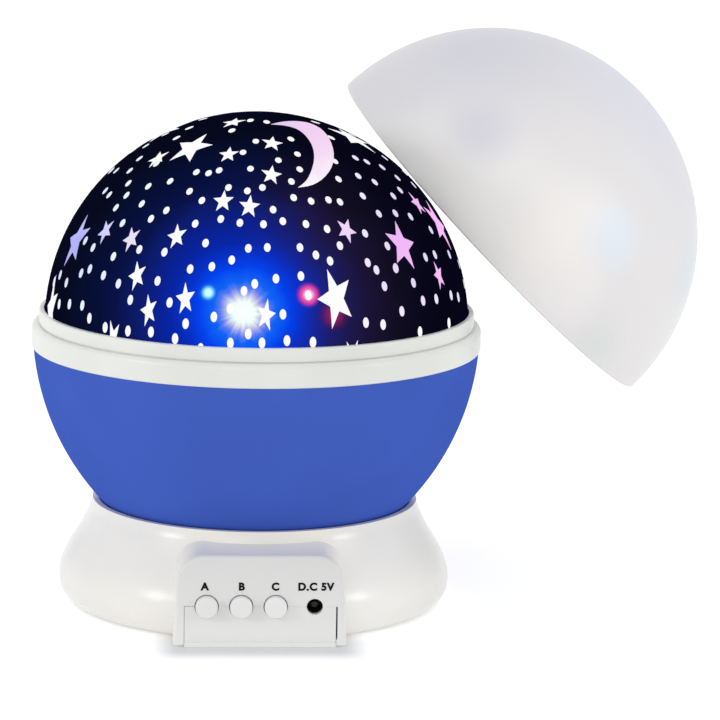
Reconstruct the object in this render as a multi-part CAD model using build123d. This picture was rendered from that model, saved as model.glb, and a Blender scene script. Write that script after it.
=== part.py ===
from build123d import *
import os
from math import cos, pi, radians, sin, sqrt, tan

# Star night light projector in millimetres, Z up, the front with the buttons facing -Y.
# The origin is on the table, under the middle of the foot.
# The foot stands still; the blue bowl, its white ring and the star dome turn on it.

# --- foot: outline of the white bell, lowest to highest, its radii counted out from its rim ---
table_gap = 0.5            # lower edge of the shell above the table
foot_edge_out = 4.4
foot_belly_out = 9.7
foot_belly_z = 7.0
foot_side_out = ((8.0, 14.0), (3.3, 22.0), (1.1, 26.5))
foot_rim_z = 30.4
foot_rim_lean = (-0.12, 1)
foot_rim_t = 1.7           # rim thickness at its crest
foot_rim_gap = 0.5         # running gap from the rim to the bowl
foot_wall = 2.0
cup_gap = 1.6              # room under the bowl inside the cup
deck_t = 2.0
deck_z = 24.2              # top of the deck that carries the bowl

# --- bowl ---
bowl_top_r = 64.7
bowl_top_z = 75.2
bowl_side_arc = 74.5       # radius of the side curve
bowl_side_z = 81.0         # height of that curve's centre
bowl_wall = 2.0
bowl_edge_fillet = 1.0

# --- ring between bowl and dome ---
ring_over = 0.5            # band beyond the bowl's edge
ring_band_h = 6.8
ring_lip_in = 2.1          # lip inside the band
ring_lip_t = 1.4
ring_lip_h = 4.2
ring_shoulder = 1.5
ring_groove = 0.4
ring_edge = 0.6
ring_skirt_h = 5.0
ring_skirt_t = 1.8
skirt_gap = 0.35           # skirt inside the bowl wall
dome_seat_depth = 2.9      # ledge that carries the dome, below the lip

# --- star dome ---
dome_wall = 1.2
dome_centre_drop = 4.5     # centre of the sphere below the lip
dome_gap = 0.2             # dome inside the lip

# --- lift-off cover, held off behind the unit ---
cover_gap = 0.4            # cover over the dome
cover_wall = 1.5
cover_edge = 0.4
cover_nearness = 22.8      # its centre from the dome's, short of both radii together
cover_bearing = 43.3       # its centre seen from the dome's, from +X towards +Y
cover_climb = 8.4
cover_tilt = 45.4          # about Y
cover_turn = -2.9          # about Z, after the tilt

# --- turntable bearing and drive ---
washer_t = 0.6
boss_r = 12.0
boss_bore_r = 6.0
hub_gap = 0.08             # running fit of the hub on the boss
hub_wall = 3.0
hub_rise = 4.0             # hub above the bowl floor
hub_end_play = 0.3
bowl_floor_t = 2.0
gear_lift = 0.6            # gear above the washer
gear_face = 3.0
gear_module = 0.8
gear_teeth = 64
pinion_teeth = 12
tooth_backlash = 0.4
tooth_rise = 0.7           # above the pitch circle
root_clearance = 0.35
pressure_angle = 20.0
gear_screw_count = 3
gear_screw_pitch_r = 19.0
gear_screw_grip = 2.4
pinion_lift = 0.5          # pinion above the deck
pinion_top_gap = 0.4       # pinion below the bowl floor

# --- gear motor ---
gearbox_r = 9.5
gearbox_h = 7.4
motor_r = 8.0
motor_h = 9.2
motor_ear_t = 1.5
motor_ear_drop = 4.0
motor_post_x = 12.5
motor_post_r = 2.6
shaft_r = 1.5
shaft_gap = 0.05
shaft_depth = 6.4
shaft_end_gap = 0.3
drive_hole_r = 3.0
motor_screw_grip = 3.0

# --- LED post ---
post_r = 6.5
post_bore_r = 4.5
post_flange_r = 17.0
post_flange_t = 2.5
post_screw_pitch_r = 9.2
post_screw_count = 3
post_screw_angle = 90.0
post_screw_l = 8.0          # depth of the hole in the boss
post_head_r = 11.0
post_head_t = 2.5
board_t = 1.6
led_board_r = 20.0
led_board_drop = 3.7       # its underside below the dome's seat
led_board_screw_count = 2
led_board_screw_pitch_r = 8.6
led_screw_grip = 2.0
led_pitch_r = 15.0
led_first_angle = -105.0
led_r = 2.5
led_h = 8.6
led_flange_r = 2.9
led_flange_t = 1.0
led_names = ("warm_white", "red", "green", "blue")

# --- control hood and panel ---
hood_out = 1.9             # panel in front of the bell
hood_depth = 16.0
hood_side = 3.1            # hood beyond the panel at each side
hood_h = 26.3              # at the front
hood_rise = 0.08           # rise of its top per millimetre to the back
hood_corner_r = 8.0
hood_taper = 0.04          # its sides lean in, per millimetre of height
hood_edge_r = 1.3
below_table = 8.0          # the hood is drawn this far down, then trimmed
cut_past = 1.0             # cuts through the panel run this far past it
panel_side = 1.7           # lower half of the panel beyond the socket
panel_gap_left = 0.12      # seam at the left, below and above the first button
panel_gap_top = 0.03       # tight seam past the first button
panel_gap_right = 0.45     # open slot at the right
panel_slot_z = 2.2         # where that slot ends above the table
panel_lip = 0.4
panel_lip_h = 0.9
panel_lip_z = 0.1
control_z = 11.7           # centre line of the buttons and the socket
button_x = (-15.1, -5.4, 4.3)
button_names = ("a", "b", "c")
button_r = 3.15
button_hole_gap = 0.27
button_proud = 2.0
button_crown = 0.5
button_flange_r = 4.1
button_flange_t = 0.9
button_flange_gap = 0.1
button_stem_r = 1.5
button_stem_l = 1.4
button_travel = 1.0
socket_x = 15.3
socket_hole_r = 2.3

# --- control board, switches and socket ---
control_board_in = 8.8     # its front face behind the panel's
control_board_side_gap = 1.0
control_board_top = 19.0
board_gap = 0.15
board_rail_t = 1.4
board_rail_w = 2.4
switch_side = 6.0
switch_depth = 3.5
plunger_r = 1.6
plunger_gap = 0.08
plunger_bore = 3.2
plunger_end_gap = 0.2
socket_w = 8.6
socket_h = 8.8
socket_bore_r = 2.1
socket_bore_l = 5.6
socket_pin_r = 0.8
socket_pin_l = 4.6

# --- bottom cover, rubber ring and screws ---
plate_t = 2.0
plate_gap = 0.25
foot_ring_in = 4.5         # ring inside the foot's edge
foot_ring_w = 3.8
foot_ring_sunk = 0.8
base_screw_gap = 1.4       # screw pads beside the battery bay
base_screw_y = 20.0
screw_boss_r = 3.5
screw_pad_r = 4.4
screw_pad_h = 1.5
screw_r = 1.25
screw_gap = 0.05
screw_head_r = 2.5
screw_head_t = 1.4
screw_head_gap = 0.3
base_screw_grip = 7.0
base_head_in = 0.3         # head above the plate's underside
screw_end_gap = 0.4
small_screw_r = 1.0
small_head_r = 2.0
small_head_t = 0.9
cross_l = 2.2              # cross recess of every screw
cross_w = 0.4
cross_depth = 0.4

# --- battery bay: four AAA cells side by side ---
cell_r = 5.2
cell_l = 43.3
cell_nub_r = 1.9
cell_nub_l = 1.2
cell_count = 4
cell_pitch = 10.8
cell_gap = 0.3
bay_back_y = 20.5
spring_l = 2.7
spring_r = 3.0
spring_wire_r = 0.3
spring_pitch = 1.0
contact_t = 0.4
contact_h = 8.0
contact_w = 8.0
bay_wall = 1.2
bay_side_gap = 0.35
bay_lip = 2.6              # plate under the back end of the bay
door_gap = 0.2
door_t = 1.8
door_tab_w = 9.0
door_tab_l = 6.5
door_tab_t = 1.5
door_head_in = 0.1         # screw head above the tab's underside
door_screw_in = 3.4        # from the end of the tab
door_screw_l = 6.0
door_screw_room = 0.5
door_boss_r = 4.0
door_boss_h = 6.5
tongue_w = 4.0
tongue_t = 0.8
tongue_lift = 0.1
tongue_reach = 1.5
tongue_root = 2.2

# --- lead from the control board to the LEDs ---
lead_r = 1.5
lead_z = 16.8
lead_bend_r = 9.0


def bowl_side_r(z, inset=0.0):
    """Radius of the bowl's side at a height, or of the same curve set in by a wall."""
    centre_r = bowl_top_r - sqrt(bowl_side_arc**2 - (bowl_side_z - bowl_top_z) ** 2)
    return centre_r + sqrt((bowl_side_arc - inset) ** 2 - (bowl_side_z - z) ** 2)


# --- heights and places that follow ---
plate_top = table_gap + plate_t
gear_z = deck_z + washer_t + gear_lift
bowl_floor_z = gear_z + gear_face
hub_base_z = deck_z + washer_t
hub_top_z = bowl_floor_z + bowl_floor_t + hub_rise
hub_in_r = boss_r + hub_gap
hub_out_r = hub_in_r + hub_wall
boss_top_z = hub_top_z + hub_end_play
ring_band_z = bowl_top_z + ring_band_h
lip_z = ring_band_z + ring_lip_h
ring_r = bowl_top_r + ring_over
ring_lip_r = ring_r - ring_lip_in
lip_in_r = ring_lip_r - ring_lip_t
dome_r = lip_in_r - dome_gap
cover_r = dome_r + cover_gap + cover_wall
dome_z = lip_z - dome_centre_drop
dome_seat_z = lip_z - dome_seat_depth
gear_pitch_r = gear_module * gear_teeth / 2
pinion_pitch_r = gear_module * pinion_teeth / 2
drive_y = gear_pitch_r + pinion_pitch_r
deck_under_z = deck_z - deck_t
panel_half_w = socket_x + socket_w / 2 + panel_side
hood_half_w = panel_half_w + hood_side
hood_inner_half_w = hood_half_w - foot_wall
control_board_half_w = hood_inner_half_w - control_board_side_gap
bay_l = cell_l + cell_nub_l + spring_l + 2 * contact_t
bay_front_y = bay_back_y - bay_l
bay_half_w = cell_count * cell_pitch / 2 + bay_side_gap
cell_z = plate_top + cell_gap + cell_r
bay_roof_z = cell_z + cell_r + cell_gap
door_hinge_y = bay_back_y - bay_lip
door_screw_y = bay_front_y - door_tab_l + door_screw_in
base_screw_x = bay_half_w + bay_wall + screw_pad_r + base_screw_gap
door_top = table_gap + door_t
door_head_z = table_gap + door_head_in + small_head_t
door_boss_top_z = plate_top + door_boss_h
base_head_z = table_gap + base_head_in + screw_head_t
rim_in_r = bowl_side_r(foot_rim_z) + foot_rim_gap
rim_r = rim_in_r + foot_rim_t
cup_r = bowl_side_r(bowl_floor_z) + cup_gap / 2
foot_belly_r = rim_r + foot_belly_out
foot_edge_r = rim_r + foot_edge_out
foot_ring_r = foot_edge_r - foot_ring_in
foot_ring_in_r = foot_ring_r - foot_ring_w
hood_front_y = -foot_belly_r - hood_out
hood_inner_y = hood_front_y + foot_wall
hood_hollow_y = -cup_r - foot_wall
control_board_y = hood_front_y + control_board_in
button_hole_r = button_r + button_hole_gap
button_flange_y = hood_inner_y + button_flange_gap
button_stem_y = button_flange_y + button_flange_t + button_stem_l
switch_front_y = control_board_y - switch_depth
led_board_z = dome_seat_z - led_board_drop
led_board_top = led_board_z + board_t
gearbox_base_z = deck_under_z - gearbox_h
pinion_top_z = bowl_floor_z - pinion_top_gap
root_depth = tooth_rise + root_clearance


def save(node, *solids):
    """Write one node's STEP file."""
    shape = solids[0] if len(solids) == 1 else Compound(solids)
    export_step(shape, "parts/" + node + ".step")


def tube(r, low, high, x=0.0, y=0.0):
    """Upright cylinder from one height to another."""
    return Pos(x, y, low) * Cylinder(r, high - low, align=(Align.CENTER, Align.CENTER, Align.MIN))


def rod(r, front, back, x, z):
    """Cylinder along Y from the front to the back."""
    upright = Cylinder(r, back - front, align=(Align.CENTER, Align.CENTER, Align.MIN))
    return Pos(x, front, z) * Rot(X=-90) * upright


def block(x, y, z):
    """Box between two limits on each axis."""
    size = (x[1] - x[0], y[1] - y[0], z[1] - z[0])
    return Pos(x[0], y[0], z[0]) * Box(*size, align=(Align.MIN, Align.MIN, Align.MIN))


def around(count, pitch_r, first=0.0):
    """Places (x, y) evenly spaced on a circle."""
    angles = [radians(first + 360 * i / count) for i in range(count)]
    return [(pitch_r * cos(a), pitch_r * sin(a)) for a in angles]


def base_screw_places():
    """Places (x, y) of the bottom cover's screws, two on each side of the battery bay."""
    return [(x, y) for x in (-base_screw_x, base_screw_x) for y in (-base_screw_y, base_screw_y)]


def turned(face):
    """Solid of revolution of an outline drawn as (radius, height)."""
    return revolve(Plane.XZ * face, Axis.Z)


def corner(face, r, z):
    """The outline's corner nearest to a point."""
    return face.vertices().sort_by_distance((r, z, 0))[0]


def bowl_side(low, high, inset=0.0):
    """The bowl's side curve between two heights."""
    heights = (low, (low + high) / 2, high)
    return ThreePointArc(*[(bowl_side_r(z, inset), z) for z in heights])


def screw(length, r=small_screw_r, head_r=small_head_r, head_t=small_head_t):
    """Screw along -Z, the underside of its head at the origin, with a cross recess."""
    head = tube(head_r, 0, head_t)
    head = fillet(head.edges().sort_by(Axis.Z)[-1], head_t / 3)
    slot = block((-cross_l / 2, cross_l / 2), (-cross_w / 2, cross_w / 2), (head_t - cross_depth, head_t))
    return head + tube(r, -length, 0) - slot - Rot(Z=90) * slot


def gear(teeth, first_tooth, low, high, bore_r):
    """Straight-flanked spur gear between two heights, its first tooth at an angle."""
    pitch_r = gear_module * teeth / 2
    half_pitch = pi * gear_module / 4 - tooth_backlash / 4
    outline = []
    for i in range(teeth):
        middle = radians(first_tooth + 360 * i / teeth)
        for rise, side in ((-root_depth, -1), (tooth_rise, -1), (tooth_rise, 1), (-root_depth, 1)):
            r = pitch_r + rise
            angle = middle + side * (half_pitch - rise * tan(radians(pressure_angle))) / r
            outline.append((r * cos(angle), r * sin(angle)))
    blank = extrude(make_face(Polyline(*outline, close=True)), high - low)
    return Pos(0, 0, low) * blank - tube(bore_r, low, high)


def hood(inset):
    """Control hood with rounded top corners, or the hollow in it when set in by the wall."""
    front = hood_front_y + inset
    back = hood_front_y + hood_depth if inset == 0 else hood_hollow_y
    height = hood_h - inset + below_table
    low_half_w = hood_half_w - inset + hood_taper * below_table
    top_half_w = low_half_w - hood_taper * height
    outline = [(-low_half_w, 0), (low_half_w, 0), (top_half_w, height), (-top_half_w, height)]
    face = make_face(Polyline(*outline, close=True))
    top = face.vertices().group_by(Axis.Y)[-1]
    face = Pos(0, -below_table, 0) * fillet(top, hood_corner_r - inset)
    depth = back - front
    solid = Solid.extrude((Plane.XZ.offset(-front) * face).face(), Vector(0, depth, hood_rise * depth))
    if inset == 0:
        solid = fillet(solid.edges().group_by(Axis.Y)[0], hood_edge_r)
    wide = (-low_half_w, low_half_w)
    return solid - block(wide, (front, back), (-2 * below_table, table_gap))


def foot_bell():
    """Outside of the bell, solid up to its rim."""
    side = [(rim_r + out, z) for out, z in foot_side_out]
    side = [(foot_belly_r, foot_belly_z), *side, (rim_r, foot_rim_z)]
    edge_w = foot_belly_r - foot_edge_r
    edge_h = foot_belly_z - table_gap
    outline = [
        Line((0, table_gap), (foot_edge_r, table_gap)),
        EllipticalCenterArc((foot_edge_r, foot_belly_z), edge_w, edge_h, start_angle=-90, arc_size=90),
        Spline(*side, tangents=((0, 1), foot_rim_lean)),
        Line((rim_r, foot_rim_z), (0, foot_rim_z)),
        Line((0, foot_rim_z), (0, table_gap)),
    ]
    return turned(make_face(outline))


def foot_hollow():
    """Room inside the bell, under the deck."""
    outline = [
        (0, 0),
        (foot_edge_r - foot_wall, 0),
        (foot_edge_r - foot_wall, table_gap),
        (foot_belly_r - foot_wall, foot_belly_z),
        (rim_r + foot_side_out[0][0] - foot_wall, foot_side_out[0][1]),
        (rim_r + foot_side_out[-1][0] - foot_wall, deck_under_z),
        (0, deck_under_z),
    ]
    return turned(make_face(Polyline(*outline, close=True)))


def foot_cup():
    """Hollow on top of the foot that the bowl turns in, open towards the rim."""
    outline = [
        (0, deck_z),
        (cup_r, deck_z),
        (cup_r, bowl_floor_z),
        (rim_in_r, foot_rim_z),
        (0, foot_rim_z),
    ]
    return turned(make_face(Polyline(*outline, close=True)))


def panel_holes():
    """Round holes through the panel for the buttons and the socket."""
    front = hood_front_y - cut_past
    back = hood_inner_y + cut_past
    holes = [rod(button_hole_r, front, back, x, control_z) for x in button_x]
    return holes + [rod(socket_hole_r, front, back, socket_x, control_z)]


def board_rails():
    """Ribs on the hood's side walls that hold the control board."""
    front_rail = (control_board_y - board_gap - board_rail_t, control_board_y - board_gap)
    back_face = control_board_y + board_t + board_gap
    back_rail = (back_face, back_face + board_rail_t)
    rails = []
    for side in (-1, 1):
        wall_x = side * (hood_inner_half_w + foot_wall / 2)
        x = sorted((wall_x, side * (hood_inner_half_w - board_rail_w)))
        for y in (front_rail, back_rail):
            rails.append(block(x, y, (plate_top + board_gap, control_board_top)))
    return rails


def base_shell():
    """White foot: bell, cup with deck and bearing boss, hood, and the bosses under the deck."""
    shell = foot_bell() + hood(0) - foot_hollow() - hood(foot_wall) - foot_cup()
    notch_y = (hood_front_y - cut_past, hood_inner_y)
    notch_x = (-panel_half_w - panel_gap_left, panel_half_w + panel_gap_left)
    slot_x = (panel_half_w, panel_half_w + panel_gap_right)
    seam_x = (notch_x[0], button_x[0])
    shell -= block(notch_x, notch_y, (0, control_z + panel_gap_top))
    shell -= block(slot_x, notch_y, (panel_slot_z, control_z + panel_gap_top))
    shell -= block(seam_x, notch_y, (0, control_z + panel_gap_left))
    for hole in panel_holes():
        shell -= hole
    for rail in board_rails():
        shell += rail
    shell += tube(boss_r, deck_z, boss_top_z)
    shell -= tube(boss_bore_r, deck_under_z, boss_top_z)
    for x, y in around(post_screw_count, post_screw_pitch_r, post_screw_angle):
        shell -= tube(small_screw_r, boss_top_z - post_screw_l, boss_top_z, x, y)
    shell -= tube(drive_hole_r, deck_under_z, deck_z, 0, drive_y)
    for x in (-motor_post_x, motor_post_x):
        shell += tube(motor_post_r, deck_under_z - motor_ear_drop, deck_z - deck_t / 2, x, drive_y)
        low = deck_under_z - motor_ear_drop
        shell -= tube(small_screw_r, low, low + motor_screw_grip, x, drive_y)
    for x, y in base_screw_places():
        boss = tube(screw_boss_r, plate_top + screw_pad_h, deck_z - deck_t / 2, x, y)
        low = plate_top + screw_pad_h
        shell += boss - tube(screw_r, low, low + base_screw_grip, x, y)
    return shell


def bottom_cover():
    """Bottom plate with the lower half of the panel and the battery bay."""
    cover = tube(foot_edge_r - foot_wall - plate_gap, table_gap, plate_top)
    floor_half_w = hood_inner_half_w - plate_gap
    floor_y = (hood_inner_y, hood_hollow_y - plate_gap)
    cover += block((-floor_half_w, floor_half_w), floor_y, (table_gap, plate_top))
    panel_x = (-panel_half_w, panel_half_w)
    cover += block(panel_x, (hood_front_y, hood_inner_y), (table_gap, control_z))
    lip_y = (hood_front_y - panel_lip, hood_front_y)
    cover += block(panel_x, lip_y, (panel_lip_z, table_gap + panel_lip_h))
    for hole in panel_holes():
        cover -= hole
    bay_x = (-bay_half_w, bay_half_w)
    bay_outer_x = (-bay_half_w - bay_wall, bay_half_w + bay_wall)
    bay_outer_y = (bay_front_y - bay_wall, bay_back_y + bay_wall)
    cover += block(bay_outer_x, bay_outer_y, (plate_top, bay_roof_z + bay_wall))
    tab_half_w = door_tab_w / 2 + door_gap
    tab_y = (bay_front_y - door_tab_l - door_gap, bay_front_y)
    cover += block((-tab_half_w - bay_wall, tab_half_w + bay_wall), tab_y, (plate_top, plate_top + bay_wall))
    cover += tube(door_boss_r, plate_top, door_boss_top_z, 0, door_screw_y)
    cover -= block(bay_x, (bay_front_y, bay_back_y), (plate_top, bay_roof_z))
    cover -= block(bay_x, (bay_front_y, door_hinge_y), (0, plate_top))
    cover -= block((-tab_half_w, tab_half_w), tab_y, (0, table_gap + door_tab_t + door_gap))
    cover -= tube(small_screw_r + door_screw_room, 0, door_boss_top_z - bay_wall, 0, door_screw_y)
    groove = tube(foot_ring_r, 0, table_gap + foot_ring_sunk)
    cover -= groove - tube(foot_ring_in_r, 0, table_gap + foot_ring_sunk)
    for x, y in base_screw_places():
        cover += tube(screw_pad_r, plate_top, plate_top + screw_pad_h, x, y)
        cover -= tube(screw_r + screw_gap, 0, plate_top + screw_pad_h, x, y)
        cover -= tube(screw_head_r + screw_head_gap, 0, base_head_z, x, y)
    return cover


def foot_ring():
    """Rubber ring that the unit stands on."""
    top = table_gap + foot_ring_sunk
    return tube(foot_ring_r, 0, top) - tube(foot_ring_in_r, 0, top)


def base_screws():
    """Screws that hold the bottom cover to the foot's bosses, heads down."""
    length = plate_top + screw_pad_h - base_head_z + base_screw_grip - screw_end_gap
    one = Rot(X=180) * screw(length, screw_r, screw_head_r, screw_head_t)
    return [Pos(x, y, base_head_z) * one for x, y in base_screw_places()]


def battery_door():
    """Door under the cells: plate, screw tab and the two tongues that it swings on."""
    half_w = bay_half_w - door_gap
    door = block((-half_w, half_w), (bay_front_y + door_gap, door_hinge_y - door_gap), (table_gap, door_top))
    tab_x = (-door_tab_w / 2, door_tab_w / 2)
    tab_y = (bay_front_y - door_tab_l, bay_front_y + 2 * door_gap)
    door += block(tab_x, tab_y, (table_gap, table_gap + door_tab_t))
    tongue_z = plate_top + tongue_lift
    root_y = (door_hinge_y - door_gap - tongue_root, door_hinge_y - door_gap)
    tip_y = (door_hinge_y - door_gap, door_hinge_y + tongue_reach)
    for x in (-cell_pitch, cell_pitch):
        width = (x - tongue_w / 2, x + tongue_w / 2)
        door += block(width, root_y, (door_top, tongue_z + tongue_t))
        door += block(width, tip_y, (tongue_z, tongue_z + tongue_t))
    door -= tube(small_screw_r, 0, door_top, 0, door_screw_y)
    door -= tube(small_head_r + screw_gap, 0, door_head_z, 0, door_screw_y)
    return door


def door_screw():
    """Captive screw in the door's tab, head down."""
    return Pos(0, door_screw_y, door_head_z) * Rot(X=180) * screw(door_screw_l)


def cell_x(i):
    """Middle of a cell across the bay."""
    return (i - (cell_count - 1) / 2) * cell_pitch


def cell(i):
    """AAA cell; the even ones have their positive end at the back."""
    front = bay_front_y + contact_t
    back = bay_back_y - contact_t
    if i % 2 == 0:
        case = rod(cell_r, front + spring_l, front + spring_l + cell_l, cell_x(i), cell_z)
        return case + rod(cell_nub_r, back - cell_nub_l, back, cell_x(i), cell_z)
    case = rod(cell_r, back - spring_l - cell_l, back - spring_l, cell_x(i), cell_z)
    return case + rod(cell_nub_r, front, front + cell_nub_l, cell_x(i), cell_z)


def cell_spring(i):
    """Coil between a cell's flat end and the contact behind it."""
    front = bay_front_y + contact_t + spring_wire_r
    if i % 2 == 1:
        front = bay_back_y - contact_t - spring_l + spring_wire_r
    path = Helix(spring_pitch, spring_l - 2 * spring_wire_r, spring_r)
    section = Plane(origin=path @ 0, z_dir=path % 0) * Circle(spring_wire_r)
    coil = sweep(section, path=path)
    return Pos(cell_x(i), front, cell_z) * Rot(X=-90) * coil


def contact(cells, y):
    """Nickel-plated plate behind one cell or across two."""
    half_w = contact_w / 2
    x = (cell_x(cells[0]) - half_w, cell_x(cells[-1]) + half_w)
    return block(x, (y, y + contact_t), (cell_z - contact_h / 2, cell_z + contact_h / 2))


def control_board():
    """Board behind the panel, standing between the rails."""
    wide = (-control_board_half_w, control_board_half_w)
    tall = (plate_top + board_gap, control_board_top)
    return block(wide, (control_board_y, control_board_y + board_t), tall)


def switch(x):
    """Push switch on the board, with the bore that its plunger slides in."""
    half = switch_side / 2
    tall = (control_z - half, control_z + half)
    body = block((x - half, x + half), (switch_front_y, control_board_y), tall)
    return body - rod(plunger_r + plunger_gap, switch_front_y, switch_front_y + plunger_bore, x, control_z)


def plunger(x):
    """Switch plunger, from the back of the button's stem into the switch."""
    end = switch_front_y + plunger_bore - button_travel - plunger_end_gap
    return rod(plunger_r, button_stem_y, end, x, control_z)


def button(x):
    """Button cap with the flange that keeps it in the panel and the stem behind it."""
    cap = rod(button_r, hood_front_y - button_proud, button_flange_y, x, control_z)
    cap = fillet(cap.edges().sort_by(Axis.Y)[0], button_crown)
    cap += rod(button_flange_r, button_flange_y, button_flange_y + button_flange_t, x, control_z)
    return cap + rod(button_stem_r, button_flange_y + button_flange_t, button_stem_y, x, control_z)


def dc_socket():
    """Black DC socket behind its hole in the panel."""
    front = hood_inner_y + button_flange_gap
    half_w = socket_w / 2
    tall = (control_z - socket_h / 2, control_z + socket_h / 2)
    body = block((socket_x - half_w, socket_x + half_w), (front, control_board_y), tall)
    return body - rod(socket_bore_r, front, front + socket_bore_l, socket_x, control_z)


def dc_pin():
    """Centre pin of the socket."""
    back = hood_inner_y + button_flange_gap + socket_bore_l
    return rod(socket_pin_r, back - socket_pin_l, back, socket_x, control_z)


def bowl():
    """Blue bowl with the hub that turns on the foot's boss."""
    floor_top = bowl_floor_z + bowl_floor_t
    outline = [
        bowl_side(bowl_floor_z, bowl_top_z),
        Line((bowl_side_r(bowl_top_z), bowl_top_z), (bowl_side_r(bowl_top_z, bowl_wall), bowl_top_z)),
        bowl_side(floor_top, bowl_top_z, bowl_wall),
        Line((bowl_side_r(floor_top, bowl_wall), floor_top), (hub_in_r, floor_top)),
        Line((hub_in_r, floor_top), (hub_in_r, bowl_floor_z)),
        Line((hub_in_r, bowl_floor_z), (bowl_side_r(bowl_floor_z), bowl_floor_z)),
    ]
    face = make_face(outline)
    face = fillet(corner(face, bowl_side_r(bowl_floor_z), bowl_floor_z), bowl_edge_fillet)
    shell = turned(face) + tube(hub_out_r, hub_base_z, hub_top_z)
    shell -= tube(hub_in_r, hub_base_z, hub_top_z)
    for x, y in around(gear_screw_count, gear_screw_pitch_r):
        shell -= tube(small_screw_r, bowl_floor_z, floor_top, x, y)
    return shell


def drive_gear():
    """Large gear under the bowl, a tooth space facing the pinion."""
    wheel = gear(gear_teeth, 90 + 180 / gear_teeth, gear_z, bowl_floor_z, hub_out_r)
    for x, y in around(gear_screw_count, gear_screw_pitch_r):
        wheel -= tube(small_screw_r, bowl_floor_z - gear_screw_grip, bowl_floor_z, x, y)
    return wheel


def gear_screws():
    """Screws through the bowl's floor into the gear."""
    one = screw(bowl_floor_t + gear_screw_grip)
    places = around(gear_screw_count, gear_screw_pitch_r)
    return [Pos(x, y, bowl_floor_z + bowl_floor_t) * one for x, y in places]


def ring():
    """White ring on the bowl: band, groove, lip, the dome's seat and the skirt in the bowl."""
    skirt_z = bowl_top_z - ring_skirt_h
    skirt_r = bowl_side_r(skirt_z, bowl_wall) - skirt_gap
    groove_r = ring_lip_r - ring_groove
    outline = [
        (skirt_r - ring_skirt_t, skirt_z),
        (skirt_r, skirt_z),
        (skirt_r, bowl_top_z),
        (ring_r, bowl_top_z),
        (ring_r, ring_band_z),
        (groove_r, ring_band_z),
        (groove_r, ring_band_z + ring_groove),
        (ring_lip_r, ring_band_z + ring_groove),
        (ring_lip_r, lip_z),
        (lip_in_r, lip_z),
        (lip_in_r, dome_seat_z),
        (skirt_r - ring_skirt_t, dome_seat_z),
    ]
    face = make_face(Polyline(*outline, close=True))
    face = fillet(corner(face, ring_r, ring_band_z), ring_shoulder)
    face = fillet(corner(face, ring_r, bowl_top_z), ring_edge)
    face = fillet(corner(face, ring_lip_r, lip_z), ring_edge)
    return turned(face)


def shell_above(r, wall, low):
    """Spherical shell about the origin, kept above a height."""
    return split(Sphere(r) - Sphere(r - wall), Plane.XY.offset(low), keep=Keep.TOP)


def star_dome():
    """Dark dome with the clear stars, seated inside the ring's lip."""
    return Pos(0, 0, dome_z) * shell_above(dome_r, dome_wall, dome_seat_z - dome_z)


def milky_cover():
    """Half-sphere that fits over the star dome, shown taken off."""
    shell = shell_above(cover_r, cover_wall, 0)
    outer_edge = shell.edges().group_by(Axis.Z)[0].sort_by(SortBy.RADIUS)[-1]
    shell = fillet(outer_edge, cover_edge)
    away = dome_r + cover_r - cover_nearness
    place = Pos(0, 0, dome_z) * Rot(Z=cover_bearing) * Rot(Y=-cover_climb) * Pos(away, 0, 0)
    return Pos(place.position) * Rot(Z=cover_turn) * Rot(Y=cover_tilt) * shell


def thrust_washer():
    """Washer on the deck that the hub runs on."""
    return tube(hub_out_r, deck_z, hub_base_z) - tube(hub_in_r, deck_z, hub_base_z)


def led_post():
    """Fixed post on the boss that holds the hub down and carries the LED board."""
    flange_top = boss_top_z + post_flange_t
    post = tube(post_flange_r, boss_top_z, flange_top) + tube(post_r, boss_top_z, led_board_z)
    post += tube(post_head_r, led_board_z - post_head_t, led_board_z)
    post -= tube(post_bore_r, boss_top_z, led_board_z)
    for x, y in around(post_screw_count, post_screw_pitch_r, post_screw_angle):
        post -= tube(small_screw_r, boss_top_z, flange_top, x, y)
    for x, y in around(led_board_screw_count, led_board_screw_pitch_r):
        post -= tube(small_screw_r, led_board_z - led_screw_grip, led_board_z, x, y)
    return post


def post_screws():
    """Screws through the post's flange into the boss."""
    one = screw(post_flange_t + post_screw_l - screw_end_gap)
    places = around(post_screw_count, post_screw_pitch_r, post_screw_angle)
    return [Pos(x, y, boss_top_z + post_flange_t) * one for x, y in places]


def led_board():
    """Round board on top of the post."""
    board = tube(led_board_r, led_board_z, led_board_top)
    for x, y in around(led_board_screw_count, led_board_screw_pitch_r):
        board -= tube(small_screw_r, led_board_z, led_board_top, x, y)
    return board


def led_board_screws():
    """Screws through the LED board into the post."""
    one = screw(board_t + led_screw_grip)
    return [Pos(x, y, led_board_top) * one for x, y in around(led_board_screw_count, led_board_screw_pitch_r)]


def led(x, y):
    """Round LED with its base flange and domed lens."""
    lens_z = led_board_top + led_h - led_r
    body = tube(led_flange_r, led_board_top, led_board_top + led_flange_t, x, y)
    return body + tube(led_r, led_board_top, lens_z, x, y) + Pos(x, y, lens_z) * Sphere(led_r)


def led_lead():
    """Round lead from the LED board down the post and forward to the control board."""
    back_of_board = control_board_y + board_t
    path = FilletPolyline((0, 0, led_board_z), (0, 0, lead_z), (0, back_of_board, lead_z), radius=lead_bend_r)
    lead = sweep(Pos(0, 0, led_board_z) * Circle(lead_r), path=path)
    print("lead bend radius", lead_bend_r, "volume ratio", lead.volume / (pi * lead_r**2 * path.length))
    return lead


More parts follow.
